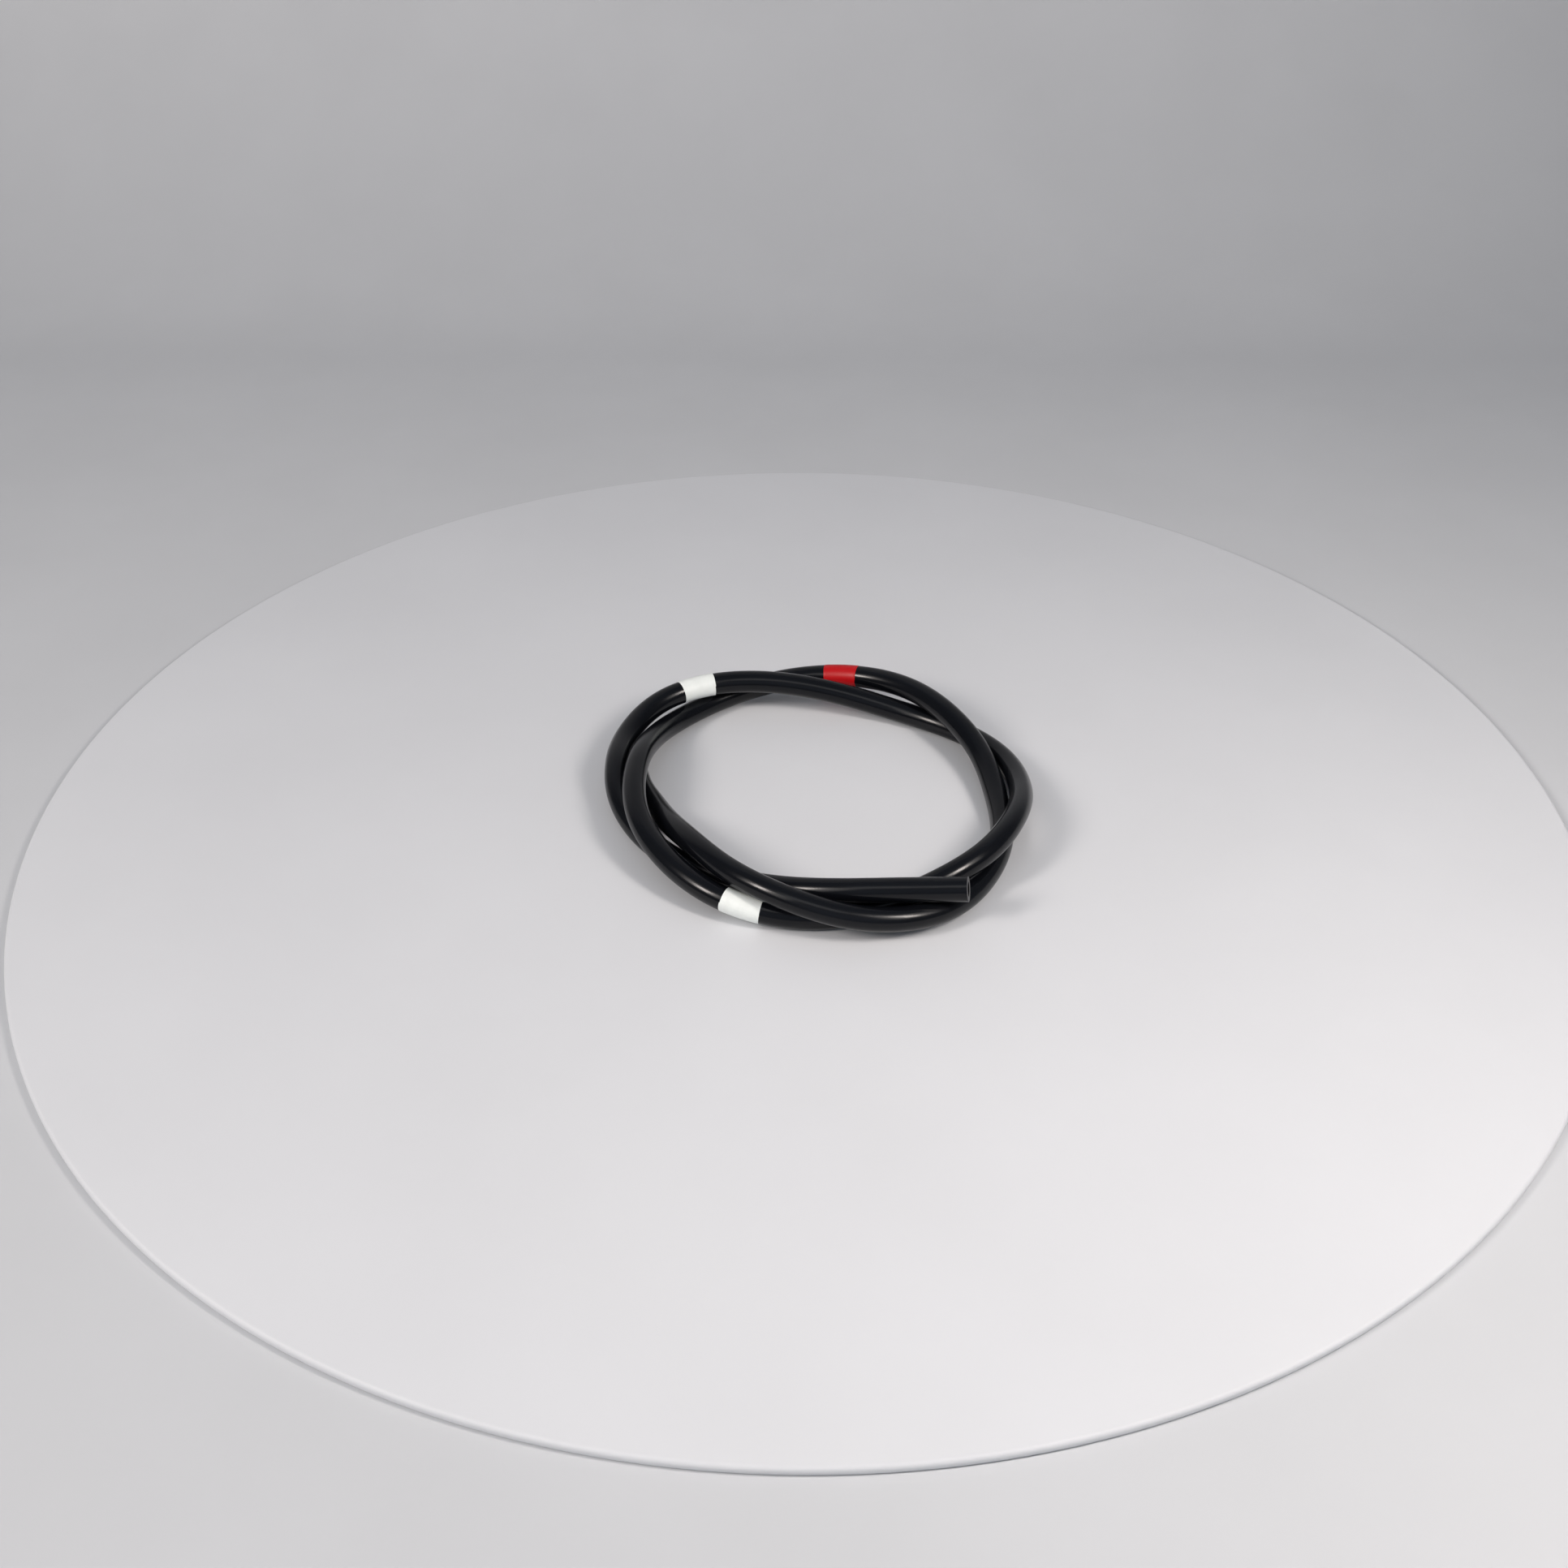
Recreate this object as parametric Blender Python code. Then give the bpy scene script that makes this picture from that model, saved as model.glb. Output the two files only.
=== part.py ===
"""A short rubber hose, loosely coiled and marked with three bands of tape.

The hose is one smooth thick-walled tube with plain cut ends. It lies on the
floor in about two and a third turns that weave over and under each other.
Each band of tape is a thin sleeve that follows the hose where it is wound on.
Metres, +Z up, with the floor at z = 0 and the origin under the middle of the coil.
"""

import math

import bpy
import numpy as np

# Driving dimensions, in metres.
HOSE_OUTER_DIAMETER = 0.016
HOSE_BORE_DIAMETER = 0.0095
STRAND_CLEARANCE = 0.0004
COIL_RADIUS = 0.130
TAPE_WIDTH = 0.025
TAPE_THICKNESS = 0.0004
TAPE_CLEARANCE = 0.0003

# How finely the hose is drawn: the run from one cross-section to the next, and the roundness of each.
STATION_SPACING = 0.025
BEVEL_RESOLUTION = 4
CURVE_SAMPLES = 4000

# Colours as linear RGB.
BLACK_RUBBER = (0.012, 0.013, 0.016)
WHITE_TAPE = (0.86, 0.87, 0.84)
RED_TAPE = (0.58, 0.012, 0.025)

# The lie of the hose, from its open end at the front right to the end that the coil hides.
# Each point is (bearing, across, level):
#   bearing  degrees round the coil, clockwise as seen from above, counted from +X
#   across   how far the strand lies outside COIL_RADIUS, in strand pitches
#   level    how high it is lifted off the floor, in strand pitches
ROUTE = (
    # The open end rises from the coil towards the front, then dives under the third turn.
    (55, 1.83, 1.43),
    (61, 1.04, 1.29),
    (67, 0.61, 1.29),
    (80, -0.08, 1.15),
    (100, -0.83, 0.65),
    (120, -1.14, 0.20),
    (140, -0.84, 0.03),
    # The first turn runs out along the floor and climbs over the second at the back.
    (160, -0.25, 0.05),
    (180, 0.44, 0.50),
    (190, 0.67, 0.73),
    (200, 0.93, 0.67),
    (220, 1.05, 0.94),
    (240, 0.27, 1.13),
    (260, -0.58, 1.00),
    (280, -0.82, 0.58),
    # It passes under the second turn and comes out on the right.
    (300, -0.58, 0.13),
    (320, -0.06, 0.02),
    (340, 0.43, 0.12),
    (360, 0.49, 0.54),
    # The second turn crosses over the third, then goes down under the open end.
    (380, 0.49, 1.15),
    (400, 0.49, 1.19),
    (420, 0.12, 0.66),
    (440, -0.06, 0.08),
    (460, 0.09, 0.06),
    # It rises over the first turn at the front left.
    (480, 0.18, 0.38),
    (500, 0.03, 0.75),
    (520, -0.15, 1.09),
    (540, -0.35, 1.22),
    (550, -0.34, 1.12),
    (560, -0.20, 0.81),
    (580, 0.33, 0.14),
    (600, 0.64, 0.05),
    # At the back it lifts over the first turn once more.
    (620, 0.73, 0.35),
    (640, 0.49, 0.76),
    (660, 0.03, 1.04),
    (680, -0.43, 0.98),
    (700, -0.55, 0.56),
    # The third turn swings out on the floor at the right.
    (720, -0.49, 0.14),
    (740, 0.00, 0.02),
    (760, 0.58, 0.02),
    (780, 1.16, 0.25),
    # It climbs over both other turns at the front and ends under the left side.
    (800, 0.95, 0.63),
    (820, 0.27, 1.12),
    (840, -0.55, 1.22),
    (860, -1.19, 1.02),
    (880, -1.33, 0.50),
    (897, -0.98, 0.06),
    (905, -0.52, 0.00),
    (914, 0.03, 0.00),
)

# Bearing, in the same count as the route's, of the middle of each band of tape.
WHITE_BAND_BACK_BEARING = 232.1
WHITE_BAND_FRONT_BEARING = 471.8
RED_BAND_BEARING = 638.3


def clear_scene():
    """Remove whatever the scene holds."""
    for thing in list(bpy.data.objects):
        bpy.data.objects.remove(thing, do_unlink=True)


def make_material(name, colour, roughness):
    """Make a plain Principled material."""
    material = bpy.data.materials.new(name)
    material.use_nodes = True
    shader = material.node_tree.nodes["Principled BSDF"]
    shader.inputs["Base Color"].default_value = (*colour, 1.0)
    shader.inputs["Roughness"].default_value = roughness
    shader.inputs["Metallic"].default_value = 0.0
    material.diffuse_color = (*colour, 1.0)
    return material


def route_points():
    """Turn the route into points of the hose's centre line, counted from the coil's middle."""
    pitch = HOSE_OUTER_DIAMETER + STRAND_CLEARANCE
    points = []
    for bearing, across, level in ROUTE:
        angle = math.radians(bearing)
        reach = COIL_RADIUS + across * pitch
        height = HOSE_OUTER_DIAMETER / 2 + level * pitch
        points.append((reach * math.cos(angle), -reach * math.sin(angle), height))
    return np.array(points)


def run_along(points):
    """Distance from the first point to each point, along the straight runs between them."""
    runs = np.linalg.norm(np.diff(points, axis=0), axis=1)
    return np.concatenate(([0.0], np.cumsum(runs)))


def spline_curvatures(knots, points):
    """Second derivatives, at the knots, of the natural cubic spline through the points."""
    count = len(knots)
    runs = np.diff(knots)[:, None]
    slopes = np.diff(points, axis=0) / runs
    matrix = np.eye(count)
    change = np.zeros_like(points)
    for row in range(1, count - 1):
        matrix[row, row - 1] = runs[row - 1, 0]
        matrix[row, row] = 2.0 * (runs[row - 1, 0] + runs[row, 0])
        matrix[row, row + 1] = runs[row, 0]
        change[row] = 6.0 * (slopes[row] - slopes[row - 1])
    return np.linalg.solve(matrix, change)


def smooth_curve(points, samples):
    """Read samples from the natural cubic spline through the points."""
    knots = run_along(points)
    curvatures = spline_curvatures(knots, points)
    places = np.linspace(0.0, knots[-1], samples)
    left = np.clip(np.searchsorted(knots, places, side="right") - 1, 0, len(knots) - 2)
    run = (knots[left + 1] - knots[left])[:, None]
    before = (knots[left + 1] - places)[:, None] / run
    after = 1.0 - before
    bend_before = (before**3 - before) * curvatures[left]
    bend_after = (after**3 - after) * curvatures[left + 1]
    straight = before * points[left] + after * points[left + 1]
    return straight + (bend_before + bend_after) * run**2 / 6.0


def centre_line():
    """Finely sampled centre line, centred over the origin, with the hose's lowest point on the floor."""
    line = smooth_curve(route_points(), CURVE_SAMPLES)
    low = line.min(axis=0)
    high = line.max(axis=0)
    middle = (low + high) / 2
    shift = (middle[0], middle[1], low[2] - HOSE_OUTER_DIAMETER / 2)
    return line - np.array(shift)


def point_at(line, distance):
    """Point at a distance along the centre line."""
    along = run_along(line)
    return np.array([np.interp(distance, along, line[:, axis]) for axis in range(3)])


def hose_stations(line):
    """Evenly spaced distances along the hose at which its cross-sections stand."""
    length = run_along(line)[-1]
    count = round(length / STATION_SPACING) + 1
    return np.linspace(0.0, length, count)


def distance_at_bearing(line, bearing):
    """Distance along the centre line at which it reaches a bearing."""
    points = route_points()
    middle = (points[0] - line[0])[:2]
    plan = line[:, :2] + middle
    bearings = np.degrees(np.unwrap(np.arctan2(-plan[:, 1], plan[:, 0])))
    return float(np.interp(bearing, bearings, run_along(line)))


def polyline_tube(name, points, outer_radius, wall, material):
    """Sweep an open tube with a real wall along the points."""
    curve = bpy.data.curves.new(name, "CURVE")
    curve.dimensions = "3D"
    curve.twist_mode = "Z_UP"
    curve.bevel_depth = outer_radius
    curve.bevel_resolution = BEVEL_RESOLUTION
    curve.use_fill_caps = False
    spline = curve.splines.new("POLY")
    spline.points.add(len(points) - 1)
    for station, point in zip(spline.points, points):
        station.co = (*point, 1.0)
    spline.use_smooth = True
    curve.materials.append(material)
    tube = bpy.data.objects.new(name, curve)
    bpy.context.collection.objects.link(tube)
    shell = tube.modifiers.new("wall", "SOLIDIFY")
    shell.thickness = wall
    shell.offset = -1.0
    shell.use_rim = True
    return tube


def make_hose(line, material):
    """The hose itself: a thick-walled tube whose bore is open from end to end."""
    points = [point_at(line, distance) for distance in hose_stations(line)]
    wall = (HOSE_OUTER_DIAMETER - HOSE_BORE_DIAMETER) / 2
    return polyline_tube("hose", points, HOSE_OUTER_DIAMETER / 2, wall, material)


def make_band(name, line, bearing, material):
    """A sleeve of tape that bends with the hose, station for station."""
    middle = distance_at_bearing(line, bearing)
    start = middle - TAPE_WIDTH / 2
    end = middle + TAPE_WIDTH / 2
    stations = hose_stations(line)
    points = [point_on_hose(line, stations, start)]
    for distance in stations[(stations > start) & (stations < end)]:
        points.append(point_at(line, distance))
    points.append(point_on_hose(line, stations, end))
    inner_radius = HOSE_OUTER_DIAMETER / 2 + TAPE_CLEARANCE
    return polyline_tube(name, points, inner_radius + TAPE_THICKNESS, TAPE_THICKNESS, material)


def point_on_hose(line, stations, distance):
    """Point on the straight run between the two stations of the hose next to a distance."""
    after = int(np.clip(np.searchsorted(stations, distance), 1, len(stations) - 1))
    before = after - 1
    share = (distance - stations[before]) / (stations[after] - stations[before])
    first = point_at(line, stations[before])
    second = point_at(line, stations[after])
    return first + share * (second - first)


def main():
    """Build the hose and its three bands of tape."""
    clear_scene()
    line = centre_line()
    rubber = make_material("black_rubber", BLACK_RUBBER, 0.42)
    white_tape = make_material("white_tape", WHITE_TAPE, 0.45)
    red_tape = make_material("red_tape", RED_TAPE, 0.35)
    make_hose(line, rubber)
    make_band("white_band_back", line, WHITE_BAND_BACK_BEARING, white_tape)
    make_band("white_band_front", line, WHITE_BAND_FRONT_BEARING, white_tape)
    make_band("red_band", line, RED_BAND_BEARING, red_tape)


main()
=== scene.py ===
"""Looks of a short black rubber hose, loosely coiled on a pale round stage.

The hose is turned as a straight wall with rounded cut ends, then laid along the
route of the coil. Each band of tape is a flat strip, wound in a spiral round
the straight hose and laid with it. Metres, +Z up, in the part's own frame.
"""

import logging
import math
from dataclasses import dataclass
from enum import Enum, IntEnum
from functools import cached_property

import bmesh
import bpy
import numpy as np
from mathutils import Matrix, Vector


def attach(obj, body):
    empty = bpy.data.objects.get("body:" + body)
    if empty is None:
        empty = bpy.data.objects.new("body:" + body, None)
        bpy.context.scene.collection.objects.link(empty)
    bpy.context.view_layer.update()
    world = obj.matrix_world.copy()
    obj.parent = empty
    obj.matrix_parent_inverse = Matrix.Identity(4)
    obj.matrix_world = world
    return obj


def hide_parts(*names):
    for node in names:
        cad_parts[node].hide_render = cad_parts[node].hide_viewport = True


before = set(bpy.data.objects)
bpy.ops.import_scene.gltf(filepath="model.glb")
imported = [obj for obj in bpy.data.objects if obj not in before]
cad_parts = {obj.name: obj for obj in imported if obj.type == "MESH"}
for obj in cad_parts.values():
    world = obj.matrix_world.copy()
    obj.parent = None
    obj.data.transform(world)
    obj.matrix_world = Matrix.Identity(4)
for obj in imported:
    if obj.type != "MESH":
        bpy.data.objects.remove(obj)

LOG = logging.getLogger("coiled_hose")

# The body that everything on the object rides on.
ROOT_BODY = "root"

# Name of the mesh attribute that holds where a vertex was before the piece was laid on its route.
STRAIGHT_PLACE = "straight_place"

# Vertices closer than this, in metres, are made one.
WELD_DISTANCE = 1e-6

# Places closer than this, in metres, are taken as the same.
SAME_PLACE = 1e-4

# Faces that meet at more than this many degrees meet at a visible edge.
SHARP_EDGE = 38.0

# The part of a noise's range that its values mostly fill.
NOISE_LOW = 0.3
NOISE_HIGH = 0.7

Colour = tuple[float, float, float]
Triple = tuple[float, float, float]
Pair = tuple[float, float]
RouteList = tuple[Triple, ...]

# Tints of the lamps.
WARM: Colour = (1.08, 0.99, 0.93)
DIFFUSED: Colour = (1.04, 1.00, 0.97)
PLAIN: Colour = (1.0, 1.0, 1.0)
COOL: Colour = (0.86, 0.98, 1.18)

# The lie of the hose, from its open end at the front right to the end that the coil hides.
# Each point is (bearing, across, level):
#   bearing  degrees round the coil, clockwise as seen from above, counted from +X
#   across   how far the strand lies outside the coil's radius, in strand pitches
#   level    how high it is lifted off the floor, in strand pitches
HOSE_ROUTE: RouteList = (
    # The open end rises from the coil towards the front, then dives under the third turn.
    (55, 1.83, 1.43),
    (61, 1.04, 1.29),
    (67, 0.61, 1.29),
    (80, -0.08, 1.15),
    (100, -0.83, 0.65),
    (120, -1.14, 0.20),
    (140, -0.84, 0.03),
    # The first turn runs out along the floor and climbs over the second at the back.
    (160, -0.25, 0.05),
    (180, 0.44, 0.50),
    (190, 0.67, 0.73),
    (200, 0.93, 0.67),
    (220, 1.05, 0.94),
    (240, 0.27, 1.13),
    (260, -0.58, 1.00),
    (280, -0.82, 0.58),
    # It passes under the second turn and comes out on the right.
    (300, -0.58, 0.13),
    (320, -0.06, 0.02),
    (340, 0.43, 0.12),
    (360, 0.49, 0.54),
    # The second turn crosses over the third, then goes down under the open end.
    (380, 0.49, 1.15),
    (400, 0.49, 1.19),
    (420, 0.12, 0.66),
    (440, -0.06, 0.08),
    (460, 0.09, 0.06),
    # It rises over the first turn at the front left.
    (480, 0.18, 0.38),
    (500, 0.03, 0.75),
    (520, -0.15, 1.09),
    (540, -0.35, 1.22),
    (550, -0.34, 1.12),
    (560, -0.20, 0.81),
    (580, 0.33, 0.14),
    (600, 0.64, 0.05),
    # At the back it lifts over the first turn once more.
    (620, 0.73, 0.35),
    (640, 0.49, 0.76),
    (660, 0.03, 1.04),
    (680, -0.43, 0.98),
    (700, -0.55, 0.56),
    # The third turn swings out on the floor at the right.
    (720, -0.49, 0.14),
    (740, 0.00, 0.02),
    (760, 0.58, 0.02),
    (780, 1.16, 0.25),
    # It climbs over both other turns at the front and ends under the left side.
    (800, 0.95, 0.63),
    (820, 0.27, 1.12),
    (840, -0.55, 1.22),
    (860, -1.19, 1.02),
    (880, -1.33, 0.50),
    (897, -0.98, 0.06),
    (905, -0.52, 0.00),
    (914, 0.03, 0.00),
)


class TapeColour(Enum):
    """The colours of tape on the hose, each with its dye as linear RGB."""

    WHITE = (0.82, 0.86, 0.835)
    RED = (0.46, 0.004, 0.007)


class HoseFace(IntEnum):
    """The kinds of face on the hose, numbered as its materials are."""

    SKIN = 0
    CUT = 1
    BORE = 2


@dataclass(frozen=True)
class Grain:
    """A noise pattern on a piece.

    Args:
        repeats: Repeats per metre across, up and along the piece, or on X, Y and Z in space.
        detail: Octaves of finer grain.
        roughness: Weight of the finer octaves.
        in_space: Whether it keeps to the axes of space and doesn't follow the piece.
    """

    repeats: Triple
    detail: float
    roughness: float
    in_space: bool = False


class NodeBench:
    """A small bench for wiring up one material's nodes."""

    def __init__(self, name: str) -> None:
        """Start a material with a Principled shader.

        Args:
            name: Name of the material.
        """
        self.material = bpy.data.materials.new(name)
        self.material.use_nodes = True
        self.tree = self.material.node_tree
        self.shader = self.tree.nodes["Principled BSDF"]

    def add(self, kind: str, **settings: object) -> bpy.types.Node:
        """Add a node and set its properties.

        Args:
            kind: Blender's name for the node type, without the leading ShaderNode.
            settings: Properties of the node, by name.

        Returns:
            The new node.
        """
        node = self.tree.nodes.new("ShaderNode" + kind)
        for name, value in settings.items():
            setattr(node, name, value)
        return node

    def link(self, source: bpy.types.NodeSocket, target: bpy.types.NodeSocket) -> None:
        """Join an output socket to an input socket."""
        self.tree.links.new(source, target)

    def place(self, grain: Grain) -> bpy.types.NodeSocket:
        """Coordinates for a grain, stretched to its size.

        Args:
            grain: The grain.

        Returns:
            The socket with the stretched coordinates.
        """
        if grain.in_space:
            source = self.add("TexCoord").outputs["Object"]
        else:
            source = self.add("Attribute", attribute_name=STRAIGHT_PLACE).outputs["Vector"]
        mapping = self.add("Mapping")
        mapping.inputs["Scale"].default_value = grain.repeats
        self.link(source, mapping.inputs["Vector"])
        return mapping.outputs["Vector"]

    def noise(self, grain: Grain) -> bpy.types.NodeSocket:
        """Noise with a given grain.

        Args:
            grain: The grain.

        Returns:
            The socket with the noise, from 0 to 1.
        """
        node = self.add("TexNoise")
        node.inputs["Scale"].default_value = 1.0
        node.inputs["Detail"].default_value = grain.detail
        node.inputs["Roughness"].default_value = grain.roughness
        self.link(self.place(grain), node.inputs["Vector"])
        return node.outputs["Fac"]

    def ranged(self, source: bpy.types.NodeSocket, low: float, high: float,
               to_low: float, to_high: float) -> bpy.types.NodeSocket:
        """Map a value's range onto another, clamped at both ends.

        Args:
            source: The value.
            low: Where the source range starts.
            high: Where the source range ends.
            to_low: Result at low.
            to_high: Result at high.

        Returns:
            The socket with the mapped value.
        """
        node = self.add("MapRange", clamp=True)
        node.inputs["From Min"].default_value = low
        node.inputs["From Max"].default_value = high
        node.inputs["To Min"].default_value = to_low
        node.inputs["To Max"].default_value = to_high
        self.link(source, node.inputs["Value"])
        return node.outputs["Result"]

    def varied(self, noise: bpy.types.NodeSocket, low: float, high: float) -> bpy.types.NodeSocket:
        """Let a noise vary a value between two limits."""
        return self.ranged(noise, NOISE_LOW, NOISE_HIGH, low, high)

    def blended(self, noise: bpy.types.NodeSocket, span: Pair,
                first: Colour, second: Colour) -> bpy.types.NodeSocket:
        """Blend two colours by a noise.

        Args:
            noise: The noise.
            span: Where the noise starts to show the second colour, and where it shows nothing else.
            first: Colour where the noise is low.
            second: Colour where the noise is high.

        Returns:
            The socket with the blended colour.
        """
        node = self.add("Mix", data_type="RGBA")
        node.inputs["A"].default_value = (*first, 1.0)
        node.inputs["B"].default_value = (*second, 1.0)
        self.link(self.ranged(noise, *span, 0.0, 1.0), node.inputs["Factor"])
        return node.outputs["Result"]

    def bumped(self, height: bpy.types.NodeSocket, depth: float,
               under: bpy.types.NodeSocket | None = None) -> bpy.types.NodeSocket:
        """Turn a height into a bump of a real depth.

        Args:
            height: Height from 0 to 1.
            depth: What a height of 1 stands for, in metres.
            under: A bump that this one is added to.

        Returns:
            The socket with the bumped normal.
        """
        node = self.add("Bump")
        node.inputs["Strength"].default_value = 1.0
        node.inputs["Distance"].default_value = depth
        self.link(height, node.inputs["Height"])
        if under is not None:
            self.link(under, node.inputs["Normal"])
        return node.outputs["Normal"]

    def finish(self, colour: bpy.types.NodeSocket, roughness: bpy.types.NodeSocket,
               normal: bpy.types.NodeSocket) -> bpy.types.Material:
        """Feed the shader and hand the material over.

        Args:
            colour: The base colour.
            roughness: The roughness.
            normal: The bumped normal.

        Returns:
            The finished material.
        """
        self.link(colour, self.shader.inputs["Base Color"])
        self.link(roughness, self.shader.inputs["Roughness"])
        self.link(normal, self.shader.inputs["Normal"])
        return self.material


@dataclass(frozen=True)
class RubberSkin:
    """The extruded outer skin: near black, with a soft gloss and faint lines along its length."""

    colour: Colour = (0.0027, 0.0031, 0.0044)
    bloom: Colour = (0.0044, 0.0050, 0.0068)
    gloss_low: float = 0.16
    gloss_high: float = 0.22
    shine: float = 0.27
    patches: Grain = Grain((90.0, 90.0, 12.0), 4.0, 0.55)
    patch_span: Pair = (0.35, 0.75)
    ripple: Grain = Grain((70.0, 70.0, 28.0), 2.0, 0.4)
    ripple_depth: float = 0.00006
    dimples: Grain = Grain((1000.0, 1000.0, 650.0), 3.0, 0.55)
    dimple_depth: float = 0.000008
    lines: Grain = Grain((1100.0, 1100.0, 5.0), 3.0, 0.6)
    line_depth: float = 0.000010
    pitting: Grain = Grain((5200.0, 5200.0, 5200.0), 2.0, 0.5, in_space=True)
    pitting_depth: float = 0.0000025

    def material(self) -> bpy.types.Material:
        """Build the skin's material.

        Returns:
            The finished material.
        """
        bench = NodeBench("rubber_skin")
        bench.shader.inputs["Specular IOR Level"].default_value = self.shine
        patches = bench.noise(self.patches)
        colour = bench.blended(patches, self.patch_span, self.colour, self.bloom)
        roughness = bench.varied(patches, self.gloss_low, self.gloss_high)
        normal = bench.bumped(bench.noise(self.ripple), self.ripple_depth)
        normal = bench.bumped(bench.noise(self.dimples), self.dimple_depth, normal)
        normal = bench.bumped(bench.noise(self.lines), self.line_depth, normal)
        normal = bench.bumped(bench.noise(self.pitting), self.pitting_depth, normal)
        return bench.finish(colour, roughness, normal)


@dataclass(frozen=True)
class CutFace:
    """The sawn ring of bare rubber at each end: greyer and matt, with the blade's strokes on it."""

    colour: Colour = (0.105, 0.106, 0.110)
    dark: Colour = (0.060, 0.061, 0.066)
    gloss_low: float = 0.54
    gloss_high: float = 0.72
    crumbs: Grain = Grain((1500.0, 1500.0, 1500.0), 4.0, 0.6)
    crumb_span: Pair = (0.35, 0.7)
    strokes: Grain = Grain((420.0, 3600.0, 900.0), 3.0, 0.6)
    stroke_depth: float = 0.00005

    def material(self) -> bpy.types.Material:
        """Build the cut face's material.

        Returns:
            The finished material.
        """
        bench = NodeBench("rubber_cut_face")
        crumbs = bench.noise(self.crumbs)
        colour = bench.blended(crumbs, self.crumb_span, self.colour, self.dark)
        roughness = bench.varied(crumbs, self.gloss_low, self.gloss_high)
        normal = bench.bumped(bench.noise(self.strokes), self.stroke_depth)
        return bench.finish(colour, roughness, normal)


@dataclass(frozen=True)
class BoreWall:
    """The inside of the hose: the same rubber, dull and a little dusty."""

    colour: Colour = (0.0020, 0.0020, 0.0024)
    dusty: Colour = (0.0045, 0.0045, 0.0045)
    gloss_low: float = 0.5
    gloss_high: float = 0.7
    shine: float = 0.10
    dust: Grain = Grain((600.0, 600.0, 120.0), 4.0, 0.6)
    dust_span: Pair = (0.5, 0.8)
    dust_depth: float = 0.00003

    def material(self) -> bpy.types.Material:
        """Build the bore wall's material.

        Returns:
            The finished material.
        """
        bench = NodeBench("rubber_bore")
        bench.shader.inputs["Specular IOR Level"].default_value = self.shine
        dust = bench.noise(self.dust)
        colour = bench.blended(dust, self.dust_span, self.colour, self.dusty)
        roughness = bench.varied(dust, self.gloss_low, self.gloss_high)
        normal = bench.bumped(dust, self.dust_depth)
        return bench.finish(colour, roughness, normal)


@dataclass(frozen=True)
class VinylTape:
    """Stretched vinyl tape: a satin film with faint pulls along the winding and a hint of grime."""

    dye: TapeColour
    grime: float = 0.93
    gloss_low: float = 0.36
    gloss_high: float = 0.48
    shine: float = 0.28
    clouds: Grain = Grain((160.0, 160.0, 160.0), 4.0, 0.6)
    cloud_span: Pair = (0.4, 0.75)
    pulls: Grain = Grain((90.0, 90.0, 900.0), 2.0, 0.5)
    pull_depth: float = 0.00004
    film: Grain = Grain((2600.0, 2600.0, 2600.0), 2.0, 0.5)
    film_depth: float = 0.000006

    def material(self) -> bpy.types.Material:
        """Build the tape's material.

        Returns:
            The finished material.
        """
        bench = NodeBench(f"{self.dye.name.lower()}_vinyl_tape")
        bench.shader.inputs["Specular IOR Level"].default_value = self.shine
        clouds = bench.noise(self.clouds)
        grimy = tuple(channel * self.grime for channel in self.dye.value)
        colour = bench.blended(clouds, self.cloud_span, self.dye.value, grimy)
        roughness = bench.varied(clouds, self.gloss_low, self.gloss_high)
        normal = bench.bumped(bench.noise(self.pulls), self.pull_depth)
        normal = bench.bumped(bench.noise(self.film), self.film_depth, normal)
        return bench.finish(colour, roughness, normal)


@dataclass(frozen=True)
class StageCoat:
    """A plain pale coat for the stage."""

    name: str
    colour: Colour
    shade: float = 0.97
    gloss_low: float = 0.55
    gloss_high: float = 0.63
    clouds: Grain = Grain((6.0, 6.0, 6.0), 3.0, 0.5, in_space=True)
    cloud_span: Pair = (0.35, 0.65)
    paint: Grain = Grain((700.0, 700.0, 700.0), 2.0, 0.5, in_space=True)
    paint_depth: float = 0.00001

    def material(self) -> bpy.types.Material:
        """Build the coat's material.

        Returns:
            The finished material.
        """
        bench = NodeBench(self.name)
        clouds = bench.noise(self.clouds)
        darker = tuple(channel * self.shade for channel in self.colour)
        colour = bench.blended(clouds, self.cloud_span, self.colour, darker)
        roughness = bench.varied(clouds, self.gloss_low, self.gloss_high)
        normal = bench.bumped(bench.noise(self.paint), self.paint_depth)
        return bench.finish(colour, roughness, normal)


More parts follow.
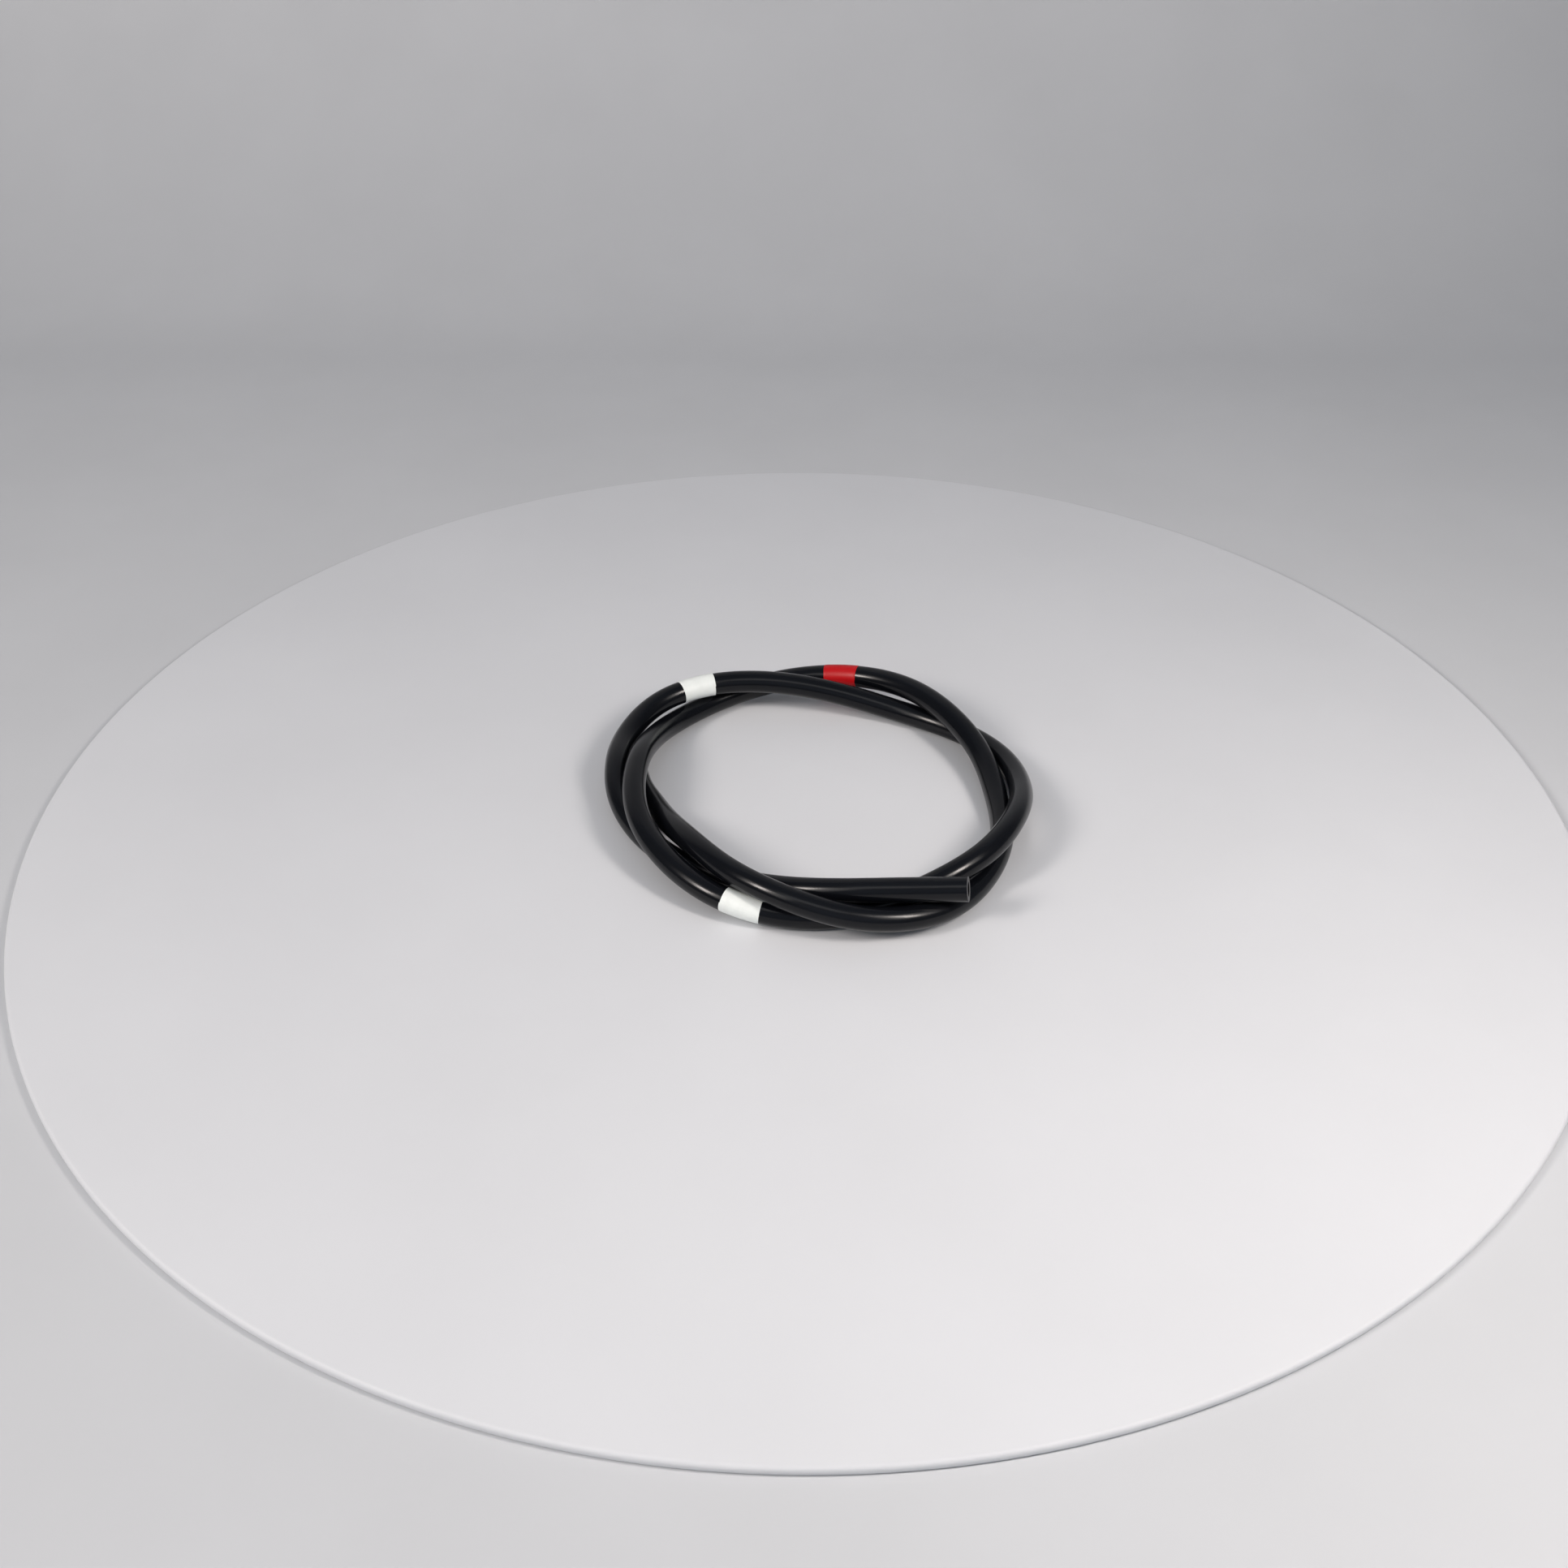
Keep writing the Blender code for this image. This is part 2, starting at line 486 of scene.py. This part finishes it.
@dataclass(frozen=True)
class HoseRoute:
    """The line along which the hose lies, worked out from its listed points."""

    hose_diameter: float = 0.016
    strand_clearance: float = 0.0004
    coil_radius: float = 0.130
    samples: int = 4000

    @cached_property
    def chosen_points(self) -> np.ndarray:
        """The route's points in metres, counted from the coil's middle.

        Returns:
            One row of x, y and z for each point of the route.
        """
        pitch = self.hose_diameter + self.strand_clearance
        points = []
        for bearing, across, level in HOSE_ROUTE:
            angle = math.radians(bearing)
            reach = self.coil_radius + across * pitch
            height = self.hose_diameter / 2 + level * pitch
            points.append((reach * math.cos(angle), -reach * math.sin(angle), height))
        return np.array(points)

    @staticmethod
    def run_along(points: np.ndarray) -> np.ndarray:
        """Distance from the first point to each point."""
        runs = np.linalg.norm(np.diff(points, axis=0), axis=1)
        return np.concatenate(([0.0], np.cumsum(runs)))

    @staticmethod
    def curvatures(knots: np.ndarray, points: np.ndarray) -> np.ndarray:
        """Second derivatives at the knots of the natural cubic spline.

        Args:
            knots: Distance along the route at each chosen point.
            points: The chosen points.

        Returns:
            One vector for each chosen point.
        """
        count = len(knots)
        runs = np.diff(knots)[:, None]
        slopes = np.diff(points, axis=0) / runs
        matrix = np.eye(count)
        change = np.zeros_like(points)
        for row in range(1, count - 1):
            matrix[row, row - 1] = runs[row - 1, 0]
            matrix[row, row] = 2.0 * (runs[row - 1, 0] + runs[row, 0])
            matrix[row, row + 1] = runs[row, 0]
            change[row] = 6.0 * (slopes[row] - slopes[row - 1])
        return np.linalg.solve(matrix, change)

    @cached_property
    def unplaced_line(self) -> np.ndarray:
        """Fine samples of the smooth curve through the chosen points.

        Returns:
            One row of x, y and z for each sample.
        """
        points = self.chosen_points
        knots = self.run_along(points)
        bends = self.curvatures(knots, points)
        places = np.linspace(0.0, knots[-1], self.samples)
        left = np.clip(np.searchsorted(knots, places, side="right") - 1, 0, len(knots) - 2)
        run = (knots[left + 1] - knots[left])[:, None]
        before = (knots[left + 1] - places)[:, None] / run
        after = 1.0 - before
        straight = before * points[left] + after * points[left + 1]
        bowed = (before**3 - before) * bends[left] + (after**3 - after) * bends[left + 1]
        return straight + bowed * run**2 / 6.0

    @cached_property
    def line(self) -> np.ndarray:
        """The centre line, centred over the origin with the hose's lowest point on the floor.

        Returns:
            One row of x, y and z for each sample.
        """
        low = self.unplaced_line.min(axis=0)
        high = self.unplaced_line.max(axis=0)
        middle = (low + high) / 2
        move = np.array((middle[0], middle[1], low[2] - self.hose_diameter / 2))
        return self.unplaced_line - move

    @cached_property
    def distances(self) -> np.ndarray:
        """Distance along the hose at each sample of the line."""
        return self.run_along(self.line)

    @property
    def length(self) -> float:
        """Length of the hose."""
        return float(self.distances[-1])

    def distance_at(self, bearing: float) -> float:
        """Distance along the hose at a bearing.

        Args:
            bearing: Degrees round the coil, counted as the route's are.

        Returns:
            The distance from the open end.
        """
        plan = self.unplaced_line[:, :2]
        bearings = np.degrees(np.unwrap(np.arctan2(-plan[:, 1], plan[:, 0])))
        return float(np.interp(bearing, bearings, self.distances))

    def read(self, values: np.ndarray, distances: np.ndarray) -> np.ndarray:
        """Read one vector of values at each distance, between the line's samples."""
        columns = [np.interp(distances, self.distances, values[:, axis]) for axis in range(3)]
        return np.stack(columns, axis=1)

    def lay(self, mesh: bmesh.types.BMesh) -> None:
        """Lay a piece that was made straight along Z onto the route, and note where it was.

        Args:
            mesh: The straight piece, with the hose's axis on Z and z as the distance along it.
        """
        mesh.verts.ensure_lookup_table()
        noted = mesh.verts.layers.float_vector.new(STRAIGHT_PLACE)
        straight = np.array([vert.co[:] for vert in mesh.verts])
        ahead = np.gradient(self.line, axis=0)
        ahead /= np.linalg.norm(ahead, axis=1)[:, None]
        ahead = self.read(ahead, straight[:, 2])
        side = np.cross((0.0, 0.0, 1.0), ahead)
        side /= np.linalg.norm(side, axis=1)[:, None]
        rise = np.cross(ahead, side)
        rise /= np.linalg.norm(rise, axis=1)[:, None]
        laid = self.read(self.line, straight[:, 2])
        laid += side * straight[:, :1] + rise * straight[:, 1:2]
        for vert, was, now in zip(mesh.verts, straight, laid):
            vert[noted] = was
            vert.co = now


def new_piece(name: str, mesh: bmesh.types.BMesh,
              materials: list[bpy.types.Material]) -> bpy.types.Object:
    """Turn a finished bmesh into a smooth-shaded object at the origin.

    Args:
        name: Name of the piece.
        mesh: The piece's shape, which is used up.
        materials: Its materials, in the order of its faces' material numbers.

    Returns:
        The new object.
    """
    data = bpy.data.meshes.new(name)
    mesh.to_mesh(data)
    mesh.free()
    for material in materials:
        data.materials.append(material)
    data.shade_smooth()
    data.set_sharp_from_angle(angle=math.radians(SHARP_EDGE))
    piece = bpy.data.objects.new(name, data)
    bpy.context.scene.collection.objects.link(piece)
    return piece


@dataclass
class RubberHose:
    """The hose: a thick wall turned round a straight axis, then laid along the route."""

    route: HoseRoute
    bore_diameter: float = 0.0095
    edge_round: float = 0.00022
    edge_steps: int = 3
    sides: int = 64
    stations: int = 480

    @property
    def outer_diameter(self) -> float:
        """Outside diameter, the one that the route leaves room for."""
        return self.route.hose_diameter

    @property
    def wall_middle(self) -> float:
        """Radius of the middle of the wall."""
        return (self.outer_diameter + self.bore_diameter) / 4

    def wall_section(self) -> bmesh.types.BMesh:
        """Draw the outline of the straight wall, cut along the hose's axis, with rounded edges.

        Returns:
            The closed outline, on one side of the axis.
        """
        wall = (self.outer_diameter - self.bore_diameter) / 2
        section = bmesh.new()
        bmesh.ops.create_grid(section, x_segments=1, y_segments=1, size=0.5)
        upright = Matrix.Rotation(math.radians(90.0), 4, "X")
        size = Matrix.Diagonal((wall, 1.0, self.route.length, 1.0))
        place = Matrix.Translation((self.wall_middle, 0.0, self.route.length / 2))
        bmesh.ops.transform(section, matrix=place @ size @ upright, verts=section.verts)
        bmesh.ops.bevel(
            section, geom=section.verts[:], offset=self.edge_round, segments=self.edge_steps,
            profile=0.5, affect="VERTICES", material=-1,
        )
        bmesh.ops.delete(section, geom=section.faces[:], context="FACES_ONLY")
        return section

    def straight_wall(self) -> bmesh.types.BMesh:
        """Turn the wall's section into a straight tube and divide it along its length.

        Returns:
            The straight wall, with its axis on Z.
        """
        wall = self.wall_section()
        bmesh.ops.spin(
            wall, geom=wall.verts[:] + wall.edges[:], axis=(0.0, 0.0, 1.0),
            cent=(0.0, 0.0, 0.0), angle=math.tau, steps=self.sides, use_merge=True,
        )
        bmesh.ops.remove_doubles(wall, verts=wall.verts[:], dist=WELD_DISTANCE)
        bmesh.ops.recalc_face_normals(wall, faces=wall.faces[:])
        runs = [edge for edge in wall.edges if edge.calc_length() > self.route.length / 2]
        bmesh.ops.subdivide_edges(wall, edges=runs, cuts=self.stations)
        return wall

    def mark_faces(self, wall: bmesh.types.BMesh) -> None:
        """Number the faces' materials by where the faces are.

        Args:
            wall: The straight wall.
        """
        for face in wall.faces:
            centre = face.calc_center_median()
            if min(centre.z, self.route.length - centre.z) < self.edge_round:
                kind = HoseFace.CUT
            elif math.hypot(centre.x, centre.y) < self.wall_middle:
                kind = HoseFace.BORE
            else:
                kind = HoseFace.SKIN
            face.material_index = kind

    def build(self) -> bpy.types.Object:
        """Build and dress the hose.

        Returns:
            The hose's object.
        """
        wall = self.straight_wall()
        self.mark_faces(wall)
        self.route.lay(wall)
        finishes = {HoseFace.SKIN: RubberSkin(), HoseFace.CUT: CutFace(), HoseFace.BORE: BoreWall()}
        materials = [finishes[kind].material() for kind in HoseFace]
        piece = new_piece("laid_hose", wall, materials)
        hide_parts("hose")
        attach(piece, ROOT_BODY)
        return piece

    def declare(self) -> None:
        along = np.linspace(0.0, self.route.length, self.stations)
        path = self.route.read(self.route.line, along)
        self.route.length


@dataclass
class TapeBand:
    """One band of tape: a strip wound round the hose, each layer a little off the one below.

    Args:
        name: Name of the piece.
        node: Node of the part that it replaces.
        slot: Name of its finish; not used.
        dye: Colour of the tape.
        bearing: Where the middle of its width is on the route, in degrees.
        route: The hose's route.
        lap_angle: Where the outer end of the lap is, in degrees round the hose.
        width: Width of the tape.
        film: Thickness of the tape.
        layer_pitch: How much higher each layer lies than the one below.
        turns: Turns of the winding.
        drift: How far the winding moves along the hose from end to end.
        shoulder: Width of the edge that is pressed down.
        edge_press: Share of its height over the first layer that its very edge loses.
        under_gap: Gap between the hose and the strip as it is wound, before it is thickened.
        steps_per_turn: Faces in one turn round the hose.
        steps_across: Faces across the width.
    """

    name: str
    node: str
    slot: str
    dye: TapeColour
    bearing: float
    route: HoseRoute
    lap_angle: float
    width: float = 0.0250
    film: float = 0.00012
    layer_pitch: float = 0.00013
    turns: float = 1.35
    drift: float = 0.0005
    shoulder: float = 0.0008
    edge_press: float = 0.75
    under_gap: float = 0.00003
    steps_per_turn: int = 72
    steps_across: int = 40

    def flat_strip(self) -> bmesh.types.BMesh:
        """Draw the strip flat: x from 0 to 1 along the winding, y across its width in metres.

        Returns:
            The flat strip.
        """
        strip = bmesh.new()
        around = round(self.turns * self.steps_per_turn)
        bmesh.ops.create_grid(strip, x_segments=around, y_segments=self.steps_across, size=0.5)
        size = Matrix.Diagonal((1.0, self.width, 1.0, 1.0))
        start = Matrix.Translation((0.5, 0.0, 0.0))
        bmesh.ops.transform(strip, matrix=size @ start, verts=strip.verts)
        return strip

    def wind(self, strip: bmesh.types.BMesh) -> None:
        """Wind the flat strip round the straight hose in a tight spiral.

        Args:
            strip: The flat strip, as flat_strip draws it.
        """
        middle = self.route.distance_at(self.bearing)
        first_radius = self.route.hose_diameter / 2 + self.under_gap
        lap = math.radians(self.lap_angle)
        for vert in strip.verts:
            turned = vert.co.x * self.turns
            angle = lap + (turned - self.turns) * math.tau
            from_edge = self.width / 2 - abs(vert.co.y)
            press = max(0.0, 1.0 - from_edge / self.shoulder) ** 2
            radius = first_radius + self.layer_pitch * turned * (1.0 - self.edge_press * press)
            along = middle + vert.co.y + self.drift * (turned - self.turns / 2) / self.turns
            vert.co = (radius * math.cos(angle), radius * math.sin(angle), along)

    def build(self) -> bpy.types.Object:
        """Build and dress the band.

        Returns:
            The band's object.
        """
        strip = self.flat_strip()
        self.wind(strip)
        bmesh.ops.recalc_face_normals(strip, faces=strip.faces[:])
        bmesh.ops.solidify(strip, geom=strip.faces[:], thickness=self.film)
        bmesh.ops.recalc_face_normals(strip, faces=strip.faces[:])
        self.route.lay(strip)
        piece = new_piece(self.name, strip, [VinylTape(self.dye).material()])
        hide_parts(self.node)
        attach(piece, ROOT_BODY)
        return piece


@dataclass
class Stage:
    """The round pale table that the hose lies on and the backdrop behind it."""

    table_radius: float = 0.520
    table_centre: Pair = (-0.011, 0.001)
    table_thickness: float = 0.006
    table_sides: int = 256
    rim_round: float = 0.0025
    rim_steps: int = 6
    table_colour: Colour = (0.67, 0.685, 0.710)
    backdrop_colour: Colour = (0.58, 0.595, 0.615)
    backdrop_half_width: float = 3.0
    backdrop_drop: float = 0.006
    backdrop_depth: float = 1.25
    backdrop_height: float = 2.6
    backdrop_curve: float = 0.45
    backdrop_steps: int = 24

    def build_table(self) -> bpy.types.Object:
        """Build the round table top with a rounded rim.

        Returns:
            The table's object.
        """
        disc = bmesh.new()
        bmesh.ops.create_circle(
            disc, cap_ends=True, segments=self.table_sides, radius=self.table_radius,
        )
        grown = bmesh.ops.extrude_face_region(disc, geom=disc.faces[:])
        lowered = [item for item in grown["geom"] if isinstance(item, bmesh.types.BMVert)]
        bmesh.ops.translate(disc, verts=lowered, vec=(0.0, 0.0, -self.table_thickness))
        bmesh.ops.recalc_face_normals(disc, faces=disc.faces[:])
        rims = [
            edge for edge in disc.edges
            if abs(edge.verts[0].co.z - edge.verts[1].co.z) < SAME_PLACE
        ]
        bmesh.ops.bevel(
            disc, geom=rims, offset=self.rim_round, segments=self.rim_steps, profile=0.5,
            affect="EDGES", material=-1,
        )
        bmesh.ops.translate(disc, verts=disc.verts[:], vec=(*self.table_centre, 0.0))
        coat = StageCoat("table_coat", self.table_colour)
        table = new_piece("stage_table", disc, [coat.material()])
        return table

    def build_backdrop(self) -> bpy.types.Object:
        """Build the sweep of the backdrop: a floor, a curve and a wall.

        Returns:
            The backdrop's object.
        """
        sweep = bmesh.new()
        bmesh.ops.create_grid(sweep, x_segments=1, y_segments=1, size=self.backdrop_half_width)
        move = Vector((0.0, self.backdrop_depth - self.backdrop_half_width, -self.backdrop_drop))
        bmesh.ops.translate(sweep, verts=sweep.verts[:], vec=move)
        back = [
            edge for edge in sweep.edges
            if all(abs(vert.co.y - self.backdrop_depth) < SAME_PLACE for vert in edge.verts)
        ]
        grown = bmesh.ops.extrude_edge_only(sweep, edges=back)
        raised = [item for item in grown["geom"] if isinstance(item, bmesh.types.BMVert)]
        bmesh.ops.translate(sweep, verts=raised, vec=(0.0, 0.0, self.backdrop_height))
        fold = [edge for edge in sweep.edges if len(edge.link_faces) == 2]
        bmesh.ops.bevel(
            sweep, geom=fold, offset=self.backdrop_curve, segments=self.backdrop_steps, profile=0.5,
            affect="EDGES", material=-1,
        )
        coat = StageCoat("backdrop_coat", self.backdrop_colour)
        wall = new_piece("stage_backdrop", sweep, [coat.material()])
        return wall


@dataclass(frozen=True)
class SoftLamp:
    """A soft box that looks at the hose.

    Args:
        name: Name of the lamp.
        azimuth: Degrees round the object, 0 in front of it and 90 on its right.
        elevation: Degrees above the floor.
        distance: Metres from the middle of the coil.
        size: Width and height of the box in metres.
        radiance: Brightness of its face.
        colour: Its tint.
    """

    name: str
    azimuth: float
    elevation: float
    distance: float
    size: Pair
    radiance: float
    colour: Colour

    def build(self) -> bpy.types.Object:
        """Build the lamp and aim it at the origin.

        Returns:
            The lamp's object.
        """
        lamp = bpy.data.lights.new(self.name, "AREA")
        lamp.shape = "RECTANGLE"
        lamp.size, lamp.size_y = self.size
        lamp.energy = self.radiance * math.pi * self.size[0] * self.size[1]
        lamp.color = self.colour
        holder = bpy.data.objects.new(self.name, lamp)
        turn = math.radians(self.azimuth)
        tilt = math.radians(self.elevation)
        level = math.cos(tilt)
        toward = Vector((math.sin(turn) * level, -math.cos(turn) * level, math.sin(tilt)))
        holder.location = toward * self.distance
        holder.rotation_euler = toward.to_track_quat("Z", "Y").to_euler()
        bpy.context.scene.collection.objects.link(holder)
        return holder


@dataclass(frozen=True)
class Studio:
    """The lamps, the soft light of the room, and the camera.

    The ceiling and front panels are each three panels of different size, one over the other, so
    that no edge shows as a line on the rubber.
    """

    lamps: tuple[SoftLamp, ...] = (
        SoftLamp("left_soft_box", -56.0, 36.0, 2.60, (0.39, 0.72), 28.5, WARM),
        SoftLamp("left_diffuser", -52.0, 38.0, 2.60, (1.50, 1.40), 1.8, DIFFUSED),
        SoftLamp("right_soft_box", 50.6, 44.9, 1.30, (0.172, 0.344), 36.0, WARM),
        SoftLamp("right_diffuser", 50.6, 44.9, 1.30, (0.68, 0.68), 2.1, DIFFUSED),
        SoftLamp("ceiling_lamp", -10.0, 60.0, 1.60, (0.90, 0.50), 1.2, PLAIN),
        SoftLamp("ceiling_panel", 180.0, 84.0, 2.00, (2.6, 2.2), 0.10, COOL),
        SoftLamp("ceiling_panel_middle", 180.0, 84.0, 2.00, (1.9, 1.5), 0.10, COOL),
        SoftLamp("ceiling_panel_core", 180.0, 84.0, 2.00, (1.2, 0.8), 0.10, COOL),
        SoftLamp("front_panel", 0.0, 22.0, 2.20, (2.8, 2.1), 0.07, COOL),
        SoftLamp("front_panel_middle", 0.0, 24.0, 2.20, (2.1, 1.5), 0.07, COOL),
        SoftLamp("front_panel_core", 0.0, 26.0, 2.20, (1.4, 0.9), 0.07, COOL),
    )
    room_colour: Colour = (0.100, 0.110, 0.126)
    camera_place: Triple = (-0.02264, -1.03795, 0.75676)
    camera_tilt: float = 35.387
    lens: float = 42.857
    sensor: float = 36.0
    nearest: float = 0.01
    farthest: float = 50.0

    def build_lights(self) -> None:
        """Build the lamps and the room's light."""
        for lamp in self.lamps:
            lamp.build()
        world = bpy.data.worlds.new("room_light")
        world.use_nodes = True
        background = world.node_tree.nodes["Background"]
        background.inputs["Color"].default_value = (*self.room_colour, 1.0)
        background.inputs["Strength"].default_value = 1.0
        bpy.context.scene.world = world

    def build_camera(self) -> bpy.types.Object:
        """Build the camera in front of the coil, looking down on it.

        Returns:
            The camera's object.
        """
        data = bpy.data.cameras.new("camera")
        data.lens = self.lens
        data.sensor_width = self.sensor
        data.clip_start = self.nearest
        data.clip_end = self.farthest
        camera = bpy.data.objects.new("camera", data)
        camera.location = self.camera_place
        camera.rotation_euler = (math.radians(90.0 - self.camera_tilt), 0.0, 0.0)
        bpy.context.scene.collection.objects.link(camera)
        bpy.context.scene.camera = camera
        return camera


def tape_bands(route: HoseRoute) -> list[TapeBand]:
    """List the bands of tape on the hose.

    Args:
        route: The hose's route.

    Returns:
        The three bands, from the open end on.
    """
    return [
        TapeBand(
            name="white_tape_back", node="white_band_back", slot="white_tape",
            dye=TapeColour.WHITE, bearing=232.1, route=route, lap_angle=160.0,
        ),
        TapeBand(
            name="white_tape_front", node="white_band_front", slot="white_tape",
            dye=TapeColour.WHITE, bearing=471.8, route=route, lap_angle=20.0,
        ),
        TapeBand(
            name="red_tape", node="red_band", slot="red_tape",
            dye=TapeColour.RED, bearing=638.3, route=route, lap_angle=170.0,
        ),
    ]


def main() -> None:
    """Build the studio, the stage, the hose and its tape, and report the hose and the stage."""
    logging.basicConfig(level=logging.INFO, format="%(message)s")
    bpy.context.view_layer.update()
    bpy.context.scene.view_settings.view_transform = "Standard"
    studio = Studio()
    studio.build_camera()
    studio.build_lights()
    route = HoseRoute()
    hose = RubberHose(route)
    piece = hose.build()
    LOG.info("%s: %.3f m of hose, %d faces", piece.name, route.length, len(piece.data.polygons))
    for band in tape_bands(route):
        band.build()
    hose.declare()
    stage = Stage()
    for part in (stage.build_table(), stage.build_backdrop()):
        LOG.info("%s: %d faces", part.name, len(part.data.polygons))


if __name__ == "__main__":
    main()
